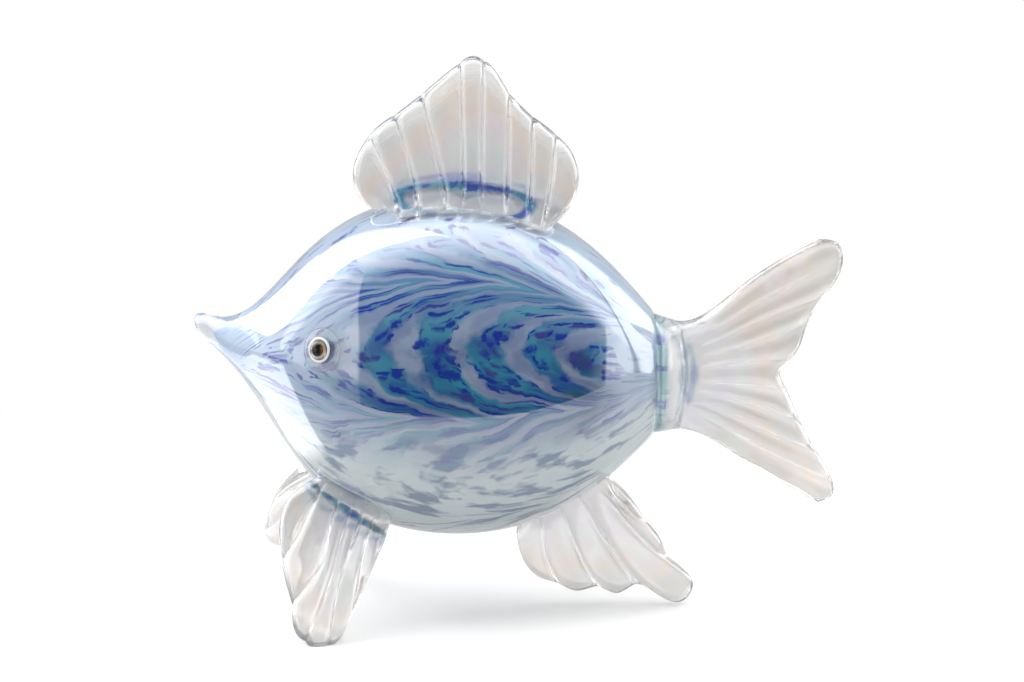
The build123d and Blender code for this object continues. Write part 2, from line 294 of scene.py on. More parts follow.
lengthways = abs(y * studio["lengthways"][0] + z * studio["lengthways"][1])
through = ramp(lengthways, *studio["backdrop"], studio["besideBackdrop"], 1.0)  # dimmer beside the backdrop
clearView = larger(rays["Is Camera Ray"], rays["Is Transmission Ray"] * through)
level = larger(between(rays["Is Glossy Ray"], studio["ambient"], mirrored), clearView)
background = put(tree, "ShaderNodeBackground", {0: paperWhite, 1: level})
put(tree, "ShaderNodeOutputWorld", {0: background[0]})

floorMat = bpy.data.materials.new("whiteTable")
tree = blankTree(floorMat)


def glowing(strength):
    return put(tree, "ShaderNodeEmission", {0: paperWhite, 1: strength})[0]


here = put(tree, "ShaderNodeTexCoord")["Object"]
x, y, z = split(here)
leftStart, leftFull, leftFade, leftEnd = studio["sheenLeft"]
sheen = ramp(x, leftStart, leftFull) * ramp(x, leftFade, leftEnd, 1.0, 0.0)
sheen = sheen * ramp(y, *studio["sheenNear"]) * ramp(y, *studio["sheenDeep"], studio["sheenBright"], 0.0)
rays = put(tree, "ShaderNodeLightPath")
mirrorRay = rays["Is Glossy Ray"] * (1.0 - rays["Is Transmission Ray"])
matte = put(tree, "ShaderNodeBsdfDiffuse", {0: studio["floorGrey"]})[0]
sweep = put(tree, "ShaderNodeAddShader", {0: matte, 1: glowing(studio["floorGlow"])})[0]
farShare = ramp(vectorCalc("LENGTH", here, {})["Value"], studio["whiteFrom"], studio["whiteTo"])
sweep = put(tree, "ShaderNodeMixShader", {0: farShare, 1: sweep, 2: glowing(1.0)})[0]
sweep = put(tree, "ShaderNodeMixShader", {0: mirrorRay * studio["floorDim"], 1: sweep, 2: glowing(0.0)})[0]
sweep = put(tree, "ShaderNodeAddShader", {0: sweep, 1: glowing(sheen * mirrorRay)})[0]
put(tree, "ShaderNodeOutputMaterial", {0: sweep})
half, front, back = studio["floorHalf"], studio["floorFront"], studio["floorBack"]
corners = [(-half, front, 0), (half, front, 0), (half, back, 0), (-half, back, 0)]
floor = meshFrom("whiteTable", corners, [(0, 1, 2, 3)])
floor.data.materials.append(floorMat)

bpy.context.scene.view_settings.view_transform = "Standard"
print("stage ready")


# Materials, with places and depths in metres

glass = {"Roughness": 0.0, "IOR": 1.5, "Transmission Weight": 1.0}


def newMaterial(name):
    material = bpy.data.materials.new(name)
    tree = blankTree(material)
    shader = tree.nodes.new("ShaderNodeBsdfPrincipled")
    put(tree, "ShaderNodeOutputMaterial", {0: Outputs(shader)[0]})
    return material, shader, put(tree, "ShaderNodeTexCoord")["Object"]


def wavySkin(place, finish):  # slight waves of hand-worked glass
    waves = noise(place, finish["waveScale"], 1.0, Roughness=0.4)[0]
    return put(place.tree, "ShaderNodeBump",
               {"Strength": 1.0, "Distance": finish["waveDepth"], "Height": waves})[0]


def cloudy(place, finish):  # a tint with a cloud of a second one
    clouds = noise(place, finish["cloudScale"], finish["cloudDetail"])[0]
    return blend(clouds, finish["tint"], finish["cloud"])


casingFinish = dict(tint=(0.97, 0.985, 0.99, 1), cloud=paperWhite, cloudScale=60.0, cloudDetail=2.0,
                    waveScale=22.0, waveDepth=0.0009, noseTint=(0.72, 0.74, 0.79, 1), smoke=(-0.104, -0.088),
                    lustreStart=(-0.104, -0.084), noseLustre=0.1, lustreIor=2.3)

clearGlass, shader, place = newMaterial("lustredClearGlass")
noseward = split(place)[0]
smoky = ramp(noseward, *casingFinish["smoke"], 1.0, 0.0)
fill(shader, {**glass, "Base Color": blend(smoky, cloudy(place, casingFinish), casingFinish["noseTint"]),
              "Normal": wavySkin(place, casingFinish), "Coat Roughness": 0.0,
              "Coat IOR": casingFinish["lustreIor"],
              "Coat Weight": ramp(noseward, *casingFinish["lustreStart"], casingFinish["noseLustre"], 1.0)})

pearlFinish = dict(clear=(0.96, 0.96, 0.955, 1), cream=(0.90, 0.87, 0.83, 1), cool=(0.83, 0.84, 0.845, 1),
                   cloudScale=38.0, cloudCut=(0.35, 0.65), warmScale=55.0, warmTwist=0.6, warmShift=1.25,
                   films=((0.26, 0.14, (0.81, 0.78, 0.86, 1)), (0.45, 0.12, (0.80, 0.86, 0.83, 1)),
                          (0.60, 0.10, (0.90, 0.79, 0.84, 1)), (0.76, 0.13, (0.95, 0.81, 0.71, 1))),
                   filmShare=0.85, crest=(0.67, 0.63, 0.585, 1), crestCut=(0.32, 0.58),
                   smoke=(0.42, 0.45, 0.48, 1), teal=(0.12, 0.42, 0.56, 1), blue=(0.05, 0.11, 0.50, 1),
                   fleckScale=130.0, fleckCut=(0.44, 0.58), seamCut=(0.30, 0.50), seamThin=0.6,
                   collarTeal=(0.40, 0.70, 0.74, 1), strokeScale=(40.0, 40.0, 430.0), strokeCut=(0.54, 0.62),
                   clearWeight=0.97, milkWeight=0.40, roughness=0.02, waveScale=35.0, waveDepth=0.0004,
                   lustreIor=1.6)

pearlGlass, shader, place = newMaterial("pearlClearGlass")
panel, filmPlace, shadedCrests, seam, smoke, collar = (
    stored(place.tree, name) for name in ("panel", "film", "ripple", "seam", "smoke", "collar"))
cloud = noise(place, pearlFinish["cloudScale"], 2.0)[0]
warm = noise(place, pearlFinish["warmScale"], 1.0, Distortion=pearlFinish["warmTwist"])[0]
pearl = blend(ramp(cloud, *pearlFinish["cloudCut"]), pearlFinish["cream"], pearlFinish["cool"])
film = (warm - 0.5) * pearlFinish["warmShift"] + filmPlace
for middle, half, tint in pearlFinish["films"]:  # lustre that changes colour from root to edge
    pearl = blend(ramp(abs(film - middle), 0.0, half, pearlFinish["filmShare"], 0.0), pearl, tint)
shadedCrests = shadedCrests * ramp(warm, *pearlFinish["crestCut"])
pearl = blend(shadedCrests, pearl, pearlFinish["crest"])  # painted shade: greyer along the crests of the ripples, standing in for the shading their refraction gives
colour = blend(panel, pearlFinish["clear"], pearl)  # clear along ribs and edges
colour = blend(smoke, colour, pearlFinish["smoke"])
flecks = noise(place, pearlFinish["fleckScale"], 3.0, Roughness=0.6)[0]
drawnIn = blend(ramp(flecks, *pearlFinish["fleckCut"]), pearlFinish["teal"], pearlFinish["blue"])
seam = seam * ramp(flecks, *pearlFinish["seamCut"], pearlFinish["seamThin"], 1.0)
colour = blend(seam, colour, drawnIn)  # colour of the body drawn into the root
strokes = put(place.tree, "ShaderNodeMapping", {"Vector": place, "Scale": pearlFinish["strokeScale"]})[0]
strokes = ramp(noise(strokes, 1.0, 2.0)[0], *pearlFinish["strokeCut"])
colour = blend(collar, colour, blend(strokes, pearlFinish["collarTeal"], pearlFinish["blue"]))
fill(shader, {**glass, "Base Color": colour, "Normal": wavySkin(place, pearlFinish),
              "Transmission Weight": panel * -pearlFinish["milkWeight"] + pearlFinish["clearWeight"],
              "Roughness": pearlFinish["roughness"], "Coat Weight": 1.0, "Coat Roughness": 0.0,
              "Coat IOR": pearlFinish["lustreIor"]})

# lengths in metres along the body, angles in degrees above the flank
comb = dict(axisHeight=0.086, flatten=1.27, wanderScale=30.0, wander=0.22, combs=7, combOffset=-9.0,
            drag=0.042, dragWidth=8.5, upperDrag=0.012, upper=(15, 45), gritScale=105.0, grit=0.0135,
            girth=0.05, bandLength=0.0178, warpScale=70.0, warp=0.55, bandRise=(0.0, 0.42),
            bandFall=(0.58, 1.0), patchScale=62.0, patch=2.2, patchCut=(0.05, 0.78), softScale=85.0,
            lilac=(0.26, 0.33, 0.52, 1), milk=(0.43, 0.51, 0.66, 1), paleCut=(0.40, 0.65),
            teal=(0.035, 0.15, 0.40, 1), turquoise=(0.06, 0.36, 0.50, 1), deepCut=(0.38, 0.62),
            noseMilk=(0.64, 0.755, 0.90, 1), nose=(-0.100, -0.036), noseShare=0.92, neck=(0.021, 0.036),
            neckShare=0.85, hazeFrom=(12, 34), haze=0.18, top=(46, 74), topShare=0.7,
            dusk=(0.03, 0.06, 0.17, 1), duskRise=(0.004, 0.022), duskFall=(0.032, 0.042),
            duskTurn=(8.594, 31.513), duskShare=0.75, duskCut=(0.35, 0.60),
            chipScale=290.0, jagScale=330.0, chipJag=0.0036, chipShare=0.88, chipLeast=0.96,
            chipEdge=(0.28, 0.68), chipDense=0.92, crowdScale=60.0, crowdCut=(0.32, 0.55),
            crowdUpper=(14, 34), crowdThin=0.72, crowdTop=(-0.060, -0.040), crowdTopLoss=0.7,
            chipNose=(-0.099, -0.086), chipNeck=(0.029, 0.038), chipNeckShare=0.3,
            cobalt=(0.008, 0.035, 0.42, 1), violet=(0.07, 0.065, 0.34, 1), violetCut=(0.55, 0.9),
            belly=(0.81, 0.89, 0.89, 1), bellySpot=(0.20, 0.29, 0.45, 1), under=(-37, -6), underShare=0.94,
            spotScale=110.0, spotStretch=(0.75, 1.3, 1.0), spotCut=(0.47, 0.63), roughness=(0.3, 0.6))

combedGlass, shader, place = newMaterial("combedColourGlass")
tree = place.tree
x, y, z = split(place)
turn = calc("ARCTAN2", (z - comb["axisHeight"]) / comb["flatten"], abs(y))  # 0 on each flank, up is positive
turn = (noise(place, comb["wanderScale"], 2.0)[0] - 0.5) * comb["wander"] + turn
combStep = 2 * pi / comb["combs"]
lane = (turn - radians(comb["combOffset"])) / combStep
offLane = abs(lane - calc("ROUND", lane))
pull = calc("EXPONENT", offLane * (-combStep / radians(comb["dragWidth"])))
stroke = ramp(turn, *arc(comb["upper"])) * comb["upperDrag"] + comb["drag"]
drawn = x - pull * stroke  # combed towards the tail
drawn = (noise(place, comb["gritScale"], 3.0, Roughness=0.6)[0] - 0.5) * comb["grit"] + drawn
flow = put(tree, "ShaderNodeCombineXYZ", {0: drawn, 1: turn * comb["girth"]})[0]
warp = noise(flow, comb["warpScale"], 3.0)[0] * comb["warp"]
band = calc("FRACT", warp + drawn / comb["bandLength"])
patchy = noise(flow, comb["patchScale"], 2.0)[0]
inBand = ramp(band, *comb["bandRise"]) * ramp(band, *comb["bandFall"], 1.0, 0.0)
inBand = ramp((patchy - 0.5) * comb["patch"] + inBand, *comb["patchCut"])
soft = noise(flow, comb["softScale"], 3.0)[0]
pale = blend(ramp(soft, *comb["paleCut"]), comb["lilac"], comb["milk"])
deep = blend(ramp(soft, *comb["deepCut"]), comb["teal"], comb["turquoise"])
colour = blend(inBand, pale, deep)
dusk = ramp(x, *comb["duskRise"]) * ramp(x, *comb["duskFall"], 1.0, 0.0)
dusk = dusk * ramp(abs(turn), *arc(comb["duskTurn"]), comb["duskShare"], 0.0) * ramp(patchy, *comb["duskCut"])
colour = blend(dusk, colour, comb["dusk"])  # painted shade: a dark patch near the tail, standing in for the dark opening of the room reflected there
bare = ramp(x, *comb["nose"], comb["noseShare"], 0.0)
bare = larger(bare, ramp(x, *comb["neck"], 0.0, comb["neckShare"]))
bare = larger(bare, ramp(turn, *arc(comb["hazeFrom"]), 0.0, comb["haze"]))
bare = larger(bare, ramp(turn, *arc(comb["top"]), 0.0, comb["topShare"]))
colour = blend(bare, colour, comb["noseMilk"])  # the colour thins towards nose, neck and back
jag = vectorCalc("SUBTRACT", noise(flow, comb["jagScale"], 2.0)["Color"], {1: (0.5,) * 3})[0]
chipPlace = vectorCalc("MULTIPLY_ADD", jag, {1: (comb["chipJag"],) * 3, 2: flow})[0]
chips = put(tree, "ShaderNodeTexVoronoi",
            {"Vector": chipPlace, "Scale": comb["chipScale"], "Randomness": 1.0},
            feature="F1", distance="EUCLIDEAN")
chipPick = put(tree, "ShaderNodeSeparateColor", {0: chips["Color"]})
crowd = inBand * ramp(noise(flow, comb["crowdScale"], 1.0)[0], *comb["crowdCut"])
crowd = crowd * ramp(turn, *arc(comb["crowdUpper"]), 1.0, comb["crowdThin"])
onTop = ramp(turn, *arc(comb["top"])) * ramp(x, *comb["crowdTop"], 0.0, comb["crowdTopLoss"])
crowd = crowd * (1.0 - onTop)
chosen = chipPick[0] > crowd * -comb["chipShare"] + comb["chipLeast"]
chipBody = chosen * ramp(chips["Distance"], *comb["chipEdge"], comb["chipDense"], 0.0)
chipBody = chipBody * ramp(x, *comb["chipNose"]) * ramp(x, *comb["chipNeck"], 1.0, comb["chipNeckShare"])
chipColour = blend(ramp(chipPick[1], *comb["violetCut"]), comb["cobalt"], comb["violet"])
colour = blend(chipBody, colour, chipColour)
spots = put(tree, "ShaderNodeMapping", {"Vector": flow, "Scale": comb["spotStretch"]})[0]
spots = ramp(noise(spots, comb["spotScale"], 2.0, Roughness=0.6)[0], *comb["spotCut"])
# pale belly with spots: the pale colour is partly the glass's own and partly painted light bounced up from
# the table
under = ramp(turn, *arc(comb["under"]), comb["underShare"], 0.0)
colour = blend(under, colour, blend(spots, comb["belly"], comb["bellySpot"]))
fill(shader, {"Base Color": colour, "Roughness": between(soft, *comb["roughness"]),
              "Specular IOR Level": 0.0})

bubbleFinish = dict(tint=(0.74, 0.78, 0.86, 1), cloud=(0.88, 0.9, 0.94, 1), cloudScale=45.0, cloudDetail=3.0,
                    roughness=0.25)

bubbleMat, shader, place = newMaterial("milkyInnerGlass")
fill(shader, {"Base Color": cloudy(place, bubbleFinish), "Roughness": bubbleFinish["roughness"]})

seatFinish = dict(tint=(0.97, 0.985, 0.99, 1), cloud=paperWhite, cloudScale=150.0, cloudDetail=1.0)

seatGlass, shader, place = newMaterial("clearSeatGlass")
fill(shader, {**glass, "Base Color": cloudy(place, seatFinish)})

lensFinish = dict(tint=(0.965, 0.975, 0.98, 1), cloud=paperWhite, cloudScale=260.0, cloudDetail=1.0,
                  waveScale=300.0, waveDepth=0.00002)

lensMat, shader, place = newMaterial("eyeLensGlass")
fill(shader, {**glass, "Base Color": cloudy(place, lensFinish), "Normal": wavySkin(place, lensFinish)})

# radii in metres from the eye's axis
whiteFinish = dict(tint=(0.80, 0.80, 0.79, 1), cloud=(0.90, 0.90, 0.89, 1), cloudScale=420.0, cloudDetail=2.0,
                   brown=(0.30, 0.26, 0.22, 1), dark=(0.05, 0.05, 0.05, 1), brownEdge=(0.0022, 0.0032),
                   darkEdge=(0.0033, 0.0036), roughness=0.08)

eyeWhiteMat, shader, place = newMaterial("eyeWhiteGlass")
radius = stored(place.tree, "radius")
# grey-brown under the lens, darkening to a painted dark ring of shade at the lens's edge
smoke = blend(ramp(radius, *whiteFinish["brownEdge"]), whiteFinish["brown"], whiteFinish["dark"])
colour = blend(ramp(radius, *whiteFinish["darkEdge"]), smoke, cloudy(place, whiteFinish))
fill(shader, {"Base Color": colour, "Roughness": whiteFinish["roughness"]})

pupilFinish = dict(black=(0.004, 0.004, 0.005, 1), amber=(0.20, 0.085, 0.03, 1), rear=(-0.0662, -0.0653),
                   cloudScale=900.0, cloudCut=(0.3, 0.6), roughness=0.05, shine=0.05)

pupilMat, shader, place = newMaterial("eyeDarkGlass")
cloud = ramp(noise(place, pupilFinish["cloudScale"], 2.0)[0], *pupilFinish["cloudCut"])
amber = ramp(split(place)[0], *pupilFinish["rear"]) * cloud
fill(shader, {"Base Color": blend(amber, pupilFinish["black"], pupilFinish["amber"]),
              "Roughness": pupilFinish["roughness"], "Specular IOR Level": pupilFinish["shine"]})
print("materials ready")


# Blown body: elliptical sections along a bent centre line

# lengths in millimetres, turns in degrees
# stations: shares of the length, of the height and of the width
# lip: distance back from the end, and share of the neck's size
body = dict(noseX=-111.0, length=157.5, height=118.0, width=93.0, clearance=27.0, noseRise=15.5,
            bendLength=50.0, neckDrop=3.0, beadRadius=4.5, beadTurn=76, beadEnd=4.1, beadSteps=24,
            skinStart=5.2, skinSteps=420, lipStart=1.2,
            lip=((0.3, 0.985), (0.0, 0.93), (0.0, 0.5), (0.0, 0.0)), casingWall=4.5, milkTip=6.5,
            tipRoom=4.0, tipFine=1.5, layerBack=0.6, layerSteps=400, slopeStep=0.02, halvings=50,
            rings=220, around=160,
            stations=((0.026, 0.074, 0.092), (0.071, 0.125, 0.152), (0.123, 0.243, 0.275),
                      (0.175, 0.418, 0.450), (0.253, 0.676, 0.690), (0.382, 0.907, 0.914),
                      (0.566, 1.000, 1.000), (0.771, 0.873, 0.880), (0.901, 0.631, 0.656),
                      (1.000, 0.357, 0.383)))
axisZ = body["clearance"] + body["height"] / 2
stationTable = np.array([(a * body["length"], w * body["width"] / 2, h * body["height"] / 2)
                         for a, h, w in body["stations"]])
bodyHalf = splineThrough(stationTable[:, 0], stationTable[:, 1:])


def centreHeight(distance):
    rise = np.maximum(0, 1 - distance / body["bendLength"]) ** 2
    drop = np.maximum(0, 2 * distance / body["length"] - 1) ** 2
    return axisZ + body["noseRise"] * rise - body["neckDrop"] * drop


def insideBody(point):  # under 1 inside the skin, over 1 outside
    distance = np.clip(point[0] - body["noseX"], body["beadEnd"], body["length"])
    halfWide, halfTall = bodyHalf(distance)[0]
    return (point[1] / halfWide) ** 2 + ((point[2] - centreHeight(distance)) / halfTall) ** 2


def skinReach(start, direction, near, far):  # how far along a line the skin is
    for _ in range(body["halvings"]):
        middle = (near + far) / 2
        near, far = (middle, far) if insideBody(start + direction * middle) < 1 else (near, middle)
    return near


def skinPoint(start, direction):  # where a line from inside meets the skin, and the skin's normal
    start, direction = np.asarray(start, float), unit(np.asarray(direction, float))
    point = start + direction * skinReach(start, direction, 0.0, body["length"])
    slope = [insideBody(point + step) - insideBody(point - step) for step in np.eye(3) * body["slopeStep"]]
    return point, unit(np.array(slope))


def profileCurve(name, points):  # distance, half width and half height as a curve's points
    curve = bpy.data.curves.new(name, "CURVE")
    curve.dimensions = "3D"
    spline = curve.splines.new("POLY")
    spline.points.add(len(points) - 1)
    for point, place in zip(spline.points, points):
        point.co = (*(np.asarray(place) * mm), 1)
    return newObject(name, curve)


def casingProfile():
    radius, length = body["beadRadius"], body["length"]
    turns = np.radians(np.linspace(0, body["beadTurn"], body["beadSteps"]))
    bead = radius * np.stack([1 - np.cos(turns), np.sin(turns), np.sin(turns)], 1)
    along = np.linspace(body["skinStart"], length - body["lipStart"], body["skinSteps"])
    skin = np.concatenate([along[:, None], bodyHalf(along)], 1)
    wide, tall = bodyHalf(length)[0]
    lip = [(length - back, wide * share, tall * share) for back, share in body["lip"]]
    return np.concatenate([bead, skin, lip])


def layerProfile():  # the colour layer lies one wall inside the skin
    tip, stop = body["milkTip"], body["length"] - body["layerBack"]
    keep = [station for station in stationTable if station[0] > tip + body["tipRoom"]]
    shape = splineThrough([tip] + [s[0] for s in keep], [(0, 0)] + [s[1:] - body["casingWall"] for s in keep])
    along = tip + (stop - tip) * np.linspace(0, 1, body["layerSteps"]) ** body["tipFine"]
    skin = np.concatenate([along[:, None], np.maximum(shape(along), 0)], 1)
    return np.concatenate([skin, [(stop, *skin[-1, 1:] * 0.5), (stop, 0, 0)]])


blowTree, given, result = newTree(
    "blownForm", Object=["Profile"], Int=["Rings", "Around"], Material=["Material"],
    Float=["Nose X", "Axis Height", "Nose Rise", "Bend Length", "Neck Drop", "Body Length"])
sheet = put(blowTree, "GeometryNodeMeshGrid", {"Size X": 1.0, "Size Y": 1.0, "Vertices X": given["Rings"],
                                              "Vertices Y": given["Around"]})["Mesh"]
gridPlace = split(put(blowTree, "GeometryNodeInputPosition")[0])
profile = put(blowTree, "GeometryNodeObjectInfo", {"Object": given["Profile"]})["Geometry"]
section = put(blowTree, "GeometryNodeSampleCurve", {"Curves": profile, "Factor": gridPlace[0] + 0.5},
              mode="FACTOR")
distance, halfWide, halfTall = split(section["Position"])
angle = (gridPlace[1] + 0.5) * (2 * pi)
bendShare = larger(1.0 - distance / given["Bend Length"], 0.0)
dropShare = larger(distance * 2.0 / given["Body Length"] - 1.0, 0.0)
middle = bendShare ** 2.0 * given["Nose Rise"] + given["Axis Height"] - dropShare ** 2.0 * given["Neck Drop"]
formed = put(blowTree, "ShaderNodeCombineXYZ", {
    0: distance + given["Nose X"], 1: calc("COSINE", angle) * halfWide,
    2: calc("SINE", angle) * halfTall + middle})[0]
moved = put(blowTree, "GeometryNodeSetPosition", {"Geometry": sheet, "Position": formed})[0]
endTree(result, moved, given["Material"])


def blownPiece(name, profile, material):
    curve = profileCurve(name + "Profile", profile)
    piece = meshFrom(name, [(0, 0, 0)], [])
    addTree(piece, blowTree, {
        "Profile": curve, "Rings": body["rings"], "Around": body["around"] + 1, "Nose X": body["noseX"] * mm,
        "Axis Height": axisZ * mm, "Nose Rise": body["noseRise"] * mm, "Bend Length": body["bendLength"] * mm,
        "Neck Drop": body["neckDrop"] * mm, "Body Length": body["length"] * mm, "Material": material})
    settle(piece, name)
    bpy.data.objects.remove(curve)
    return piece


casing = blownPiece("blownCasing", casingProfile(), clearGlass)
colourCoat = blownPiece("combedColourLayer", layerProfile(), combedGlass)
standIn(casing, "clear_casing")
standIn(colourCoat, "colour_layer")
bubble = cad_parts["inner_bubble"]  # the CAD's own shape
bubble.data.materials.clear()
bubble.data.materials.append(bubbleMat)
print("body made:", len(casing.data.polygons) + len(colourCoat.data.polygons), "faces")


# Ribbed fins: a sheet between a root line and an edge line, thickened and ribbed by nodes

finSizes = ["Groove Depth", "Groove Width", "Edge Nick", "Root Half", "Edge Half", "Root Fall", "Flare",
            "Flare Reach", "Edge Round", "Side Round", "Root Side Round", "Wobble", "Wobble Scale", "Seed",
            "Rib Start", "Rib Full", "Collar Half", "Collar Reach", "Panel Share", "Panel Edge", "Line Share",
            "Ripple Share"]
finLengths = ("Root Half", "Edge Half", "Flare", "Wobble", "Collar Half")  # given in millimetres
finForm = dict(rootStep=0.5, rootSharp=40.0, sideRun=(0.0, 0.35), collarCurve=0.8, nickCurve=5.0,
               ribLine=(0.76, 0.96), panelEnd=0.995, sideFade=0.4, collarTint=(0.30, 0.52),
               collarShare=0.8, crest=(0.10, 0.75))
finTree, given, result = newTree("ribbedFin", Float=finSizes, Vector=["Face Way"], Material=["Material"])


def finValue(name, kind="FLOAT"):
    return put(finTree, "GeometryNodeInputNamedAttribute", {"Name": name}, data_type=kind)["Attribute"]


rib, share, reach, face = (finValue(key) for key in ("rib", "share", "reach", "face"))
fromCrest = abs(calc("FRACT", rib) * 2.0 - 1.0)
groove = fromCrest ** given["Groove Width"]
shown = ramp(reach, given["Rib Start"], given["Rib Full"])
notRoot = 1.0 - reach
halfThick = between(notRoot ** given["Root Fall"], given["Edge Half"], given["Root Half"])
halfThick = calc("EXPONENT", reach * -1.0 / given["Flare Reach"]) * given["Flare"] + halfThick
inCollar = larger(1.0 - (reach / given["Collar Reach"]) ** 2.0, 0.0)
collar = inCollar ** finForm["collarCurve"] * given["Collar Half"]
halfThick = (halfThick ** 4.0 + collar ** 4.0) ** 0.25  # a smooth larger of the two
edgeRound = calc("SQRT", 1.0 - reach ** given["Edge Round"])
rootRound = calc("SQRT", 1.0 - notRoot ** finForm["rootSharp"])
sidePower = between(ramp(reach, *finForm["sideRun"]), given["Root Side Round"], given["Side Round"])
sideRound = calc("SQRT", larger(1.0 - abs(share * 2.0 - 1.0) ** sidePower, 0.0))
ribbed = 1.0 - groove * shown * given["Groove Depth"]
halfThick = halfThick * edgeRound * rootRound * sideRound * ribbed
swell = vectorCalc("SCALE", given["Face Way"], {"Scale": halfThick * face})[0]
nickShare = groove * reach ** finForm["nickCurve"] * (given["Edge Nick"] * -1.0)
nick = vectorCalc("SCALE", finValue("run", "FLOAT_VECTOR"), {"Scale": nickShare})[0]
wave = put(finTree, "ShaderNodeTexNoise", {
    "Vector": put(finTree, "GeometryNodeInputPosition")[0], "W": given["Seed"],
    "Scale": given["Wobble Scale"], "Detail": 1.0}, noise_dimensions="4D")[0]
lean = vectorCalc("SCALE", given["Face Way"], {"Scale": (wave - 0.5) * (given["Wobble"] * shown)})[0]
total = vectorCalc("ADD", vectorCalc("ADD", swell, {1: nick})[0], {1: lean})[0]
moved = put(finTree, "GeometryNodeSetPosition", {"Geometry": given["Geometry"], "Offset": total})[0]
lines = ramp(fromCrest, *finForm["ribLine"]) * given["Line Share"]
panel = (1.0 - lines * shown) * ramp(reach, given["Panel Edge"], finForm["panelEnd"], 1.0, 0.0)
panel = panel * sideRound ** finForm["sideFade"] * given["Panel Share"]  # 1 between the ribs, 0 on edges
tinted = ramp(reach / given["Collar Reach"], *finForm["collarTint"], finForm["collarShare"], 0.0)
tinted = (given["Collar Half"] > 0.0) * tinted
# painted shade along the crests of the ripples, kept for the fin material
shadedCrests = ramp(fromCrest, *finForm["crest"], 1.0, 0.0) * (shown * given["Ripple Share"])
for label, value in (("panel", panel), ("collar", tinted), ("film", reach), ("ripple", shadedCrests)):
    marked = {"Geometry": moved, "Name": label, "Value": value}
    moved = put(finTree, "GeometryNodeStoreNamedAttribute", marked, data_type="FLOAT", domain="POINT")[0]
endTree(result, moved, given["Material"])


def footMarks(flat, foot):  # colour line around the pressed foot of a fin and the smoky band inside it
    angle = radians(foot["turn"])
    off = (flat - foot["place"]) @ np.array(((cos(angle), -sin(angle)), (sin(angle), cos(angle))))
    ring = (np.abs(off / foot["half"]) ** foot["square"]).sum(axis=1) ** (1 / foot["square"])
    ring = np.maximum(ring, foot["ringLeast"])  # 1 on the outline
    outside = np.linalg.norm(off, axis=1) * (1 - 1 / ring)  # from the outline, less than 0 inside
    seam = np.clip(foot["lineFlat"] * (1 - np.abs(outside) / foot["lineHalf"]), 0, 1) * foot["lineShare"]
    smoke = np.clip(1 - np.abs(outside + foot["smokeIn"]) / foot["smokeHalf"], 0, 1) * foot["smokeShare"]
    return seam, np.where(off[:, 1] > 0, smoke, smoke * foot["smokeBelow"])


def finSheet(name, fin, origin, along, up):
    lines, columns, rows = fin["lines"], fin["columns"], fin["rows"]
    table = np.array([[c for point in line[1:] for c in point] for line in lines])
    edgeSteps, rootSteps = (np.hypot(*np.diff(ends, axis=0).T) for ends in (table[:, -2:], table[:, :2]))
    steps = edgeSteps + rootSteps * finForm["rootStep"]
    keys = np.concatenate([[0], np.cumsum(steps)])  # evenly along the edge of the fin
    shares = np.linspace(0, 1, columns)
    control = splineThrough(keys, table)(shares * keys[-1]).reshape(columns, -1, 2)
    ribAt = np.interp(shares * keys[-1], keys, [line[0] for line in lines])
    turns = 2 * np.pi * np.arange(rows) / rows  # up the front face, over the edge and down the back
    reach = (1 - np.cos(turns)) / 2
    flat = (splineThrough(fin["stops"], np.eye(len(fin["stops"])))(reach) @ control).reshape(-1, 2)
    run = control[:, -1] - control[:, -2]
    face = np.sign(rows - 2.0 * np.arange(rows))  # 0 at the edge
    values = {"rib": np.repeat(ribAt, rows), "share": np.repeat(shares, rows),
              "reach": np.tile(reach, columns), "face": np.tile(face, columns),
              "seam": np.zeros(len(flat)), "smoke": np.zeros(len(flat)),
              "run": np.repeat((run[:, :1] * along + run[:, 1:] * up) * mm, rows, axis=0)}
    if fin["foot"]:
        values["seam"], values["smoke"] = footMarks(flat, fin["foot"])
    points = (origin + flat[:, :1] * along + flat[:, 1:] * up) * mm
    sheet = meshFrom(name, points, quads(columns, rows, stripsMeet=False))
    for key, value in values.items():
        kind, field = ("FLOAT", "value") if value.ndim == 1 else ("FLOAT_VECTOR", "vector")
        kept = sheet.data.attributes.new(key, kind, "POINT")
        kept.data.foreach_set(field, value.astype(np.float32).ravel())
    return sheet


def ribbedFin(name, fin, node, origin=(0, 0, 0), along=(1, 0, 0), up=(0, 0, 1), faceWay=(0.0, -1.0, 0.0)):
    piece = finSheet(name, fin, *(np.asarray(axis, float) for axis in (origin, along, up)))
    values = {"Face Way": tuple(faceWay), "Material": pearlGlass}
    for label in finSizes:
        size = fin[label[0].lower() + label[1:].replace(" ", "")]
        values[label] = size * mm if label in finLengths else size
    addTree(piece, finTree, values)
    settle(piece, name)
    for key in ("rib", "share", "reach", "face", "run"):
        piece.data.attributes.remove(piece.data.attributes[key])
    for vertex in piece.data.vertices:  # flat where the fin stands on the floor
        vertex.co.z = max(vertex.co.z, 0.0)
    standIn(piece, node)
    print(name, "made:", len(piece.data.polygons), "faces")


usualFoot = dict(turn=0.0, square=2.0, ringLeast=0.05, lineFlat=1.7, lineShare=1.0, smokeIn=3.0,
                 smokeHalf=1.0, smokeShare=0.0, smokeBelow=0.3)

# lines: place in ribs, then points from the root to the edge in millimetres
# stops: the shares of the reach at which those points lie
usualFin = dict(edgeNick=0.03, rootFall=1.5, edgeRound=12.0, sideRound=9.0, rootSideRound=5.0,
                flareReach=0.15, collarHalf=0.0, collarReach=0.2, ribStart=0.1, ribFull=0.35, panelEdge=0.95,
                lineShare=0.5, wobble=1.4, wobbleScale=30.0, foot=None, stops=(0, 0.35, 0.65, 1),
                columns=320, rows=150)

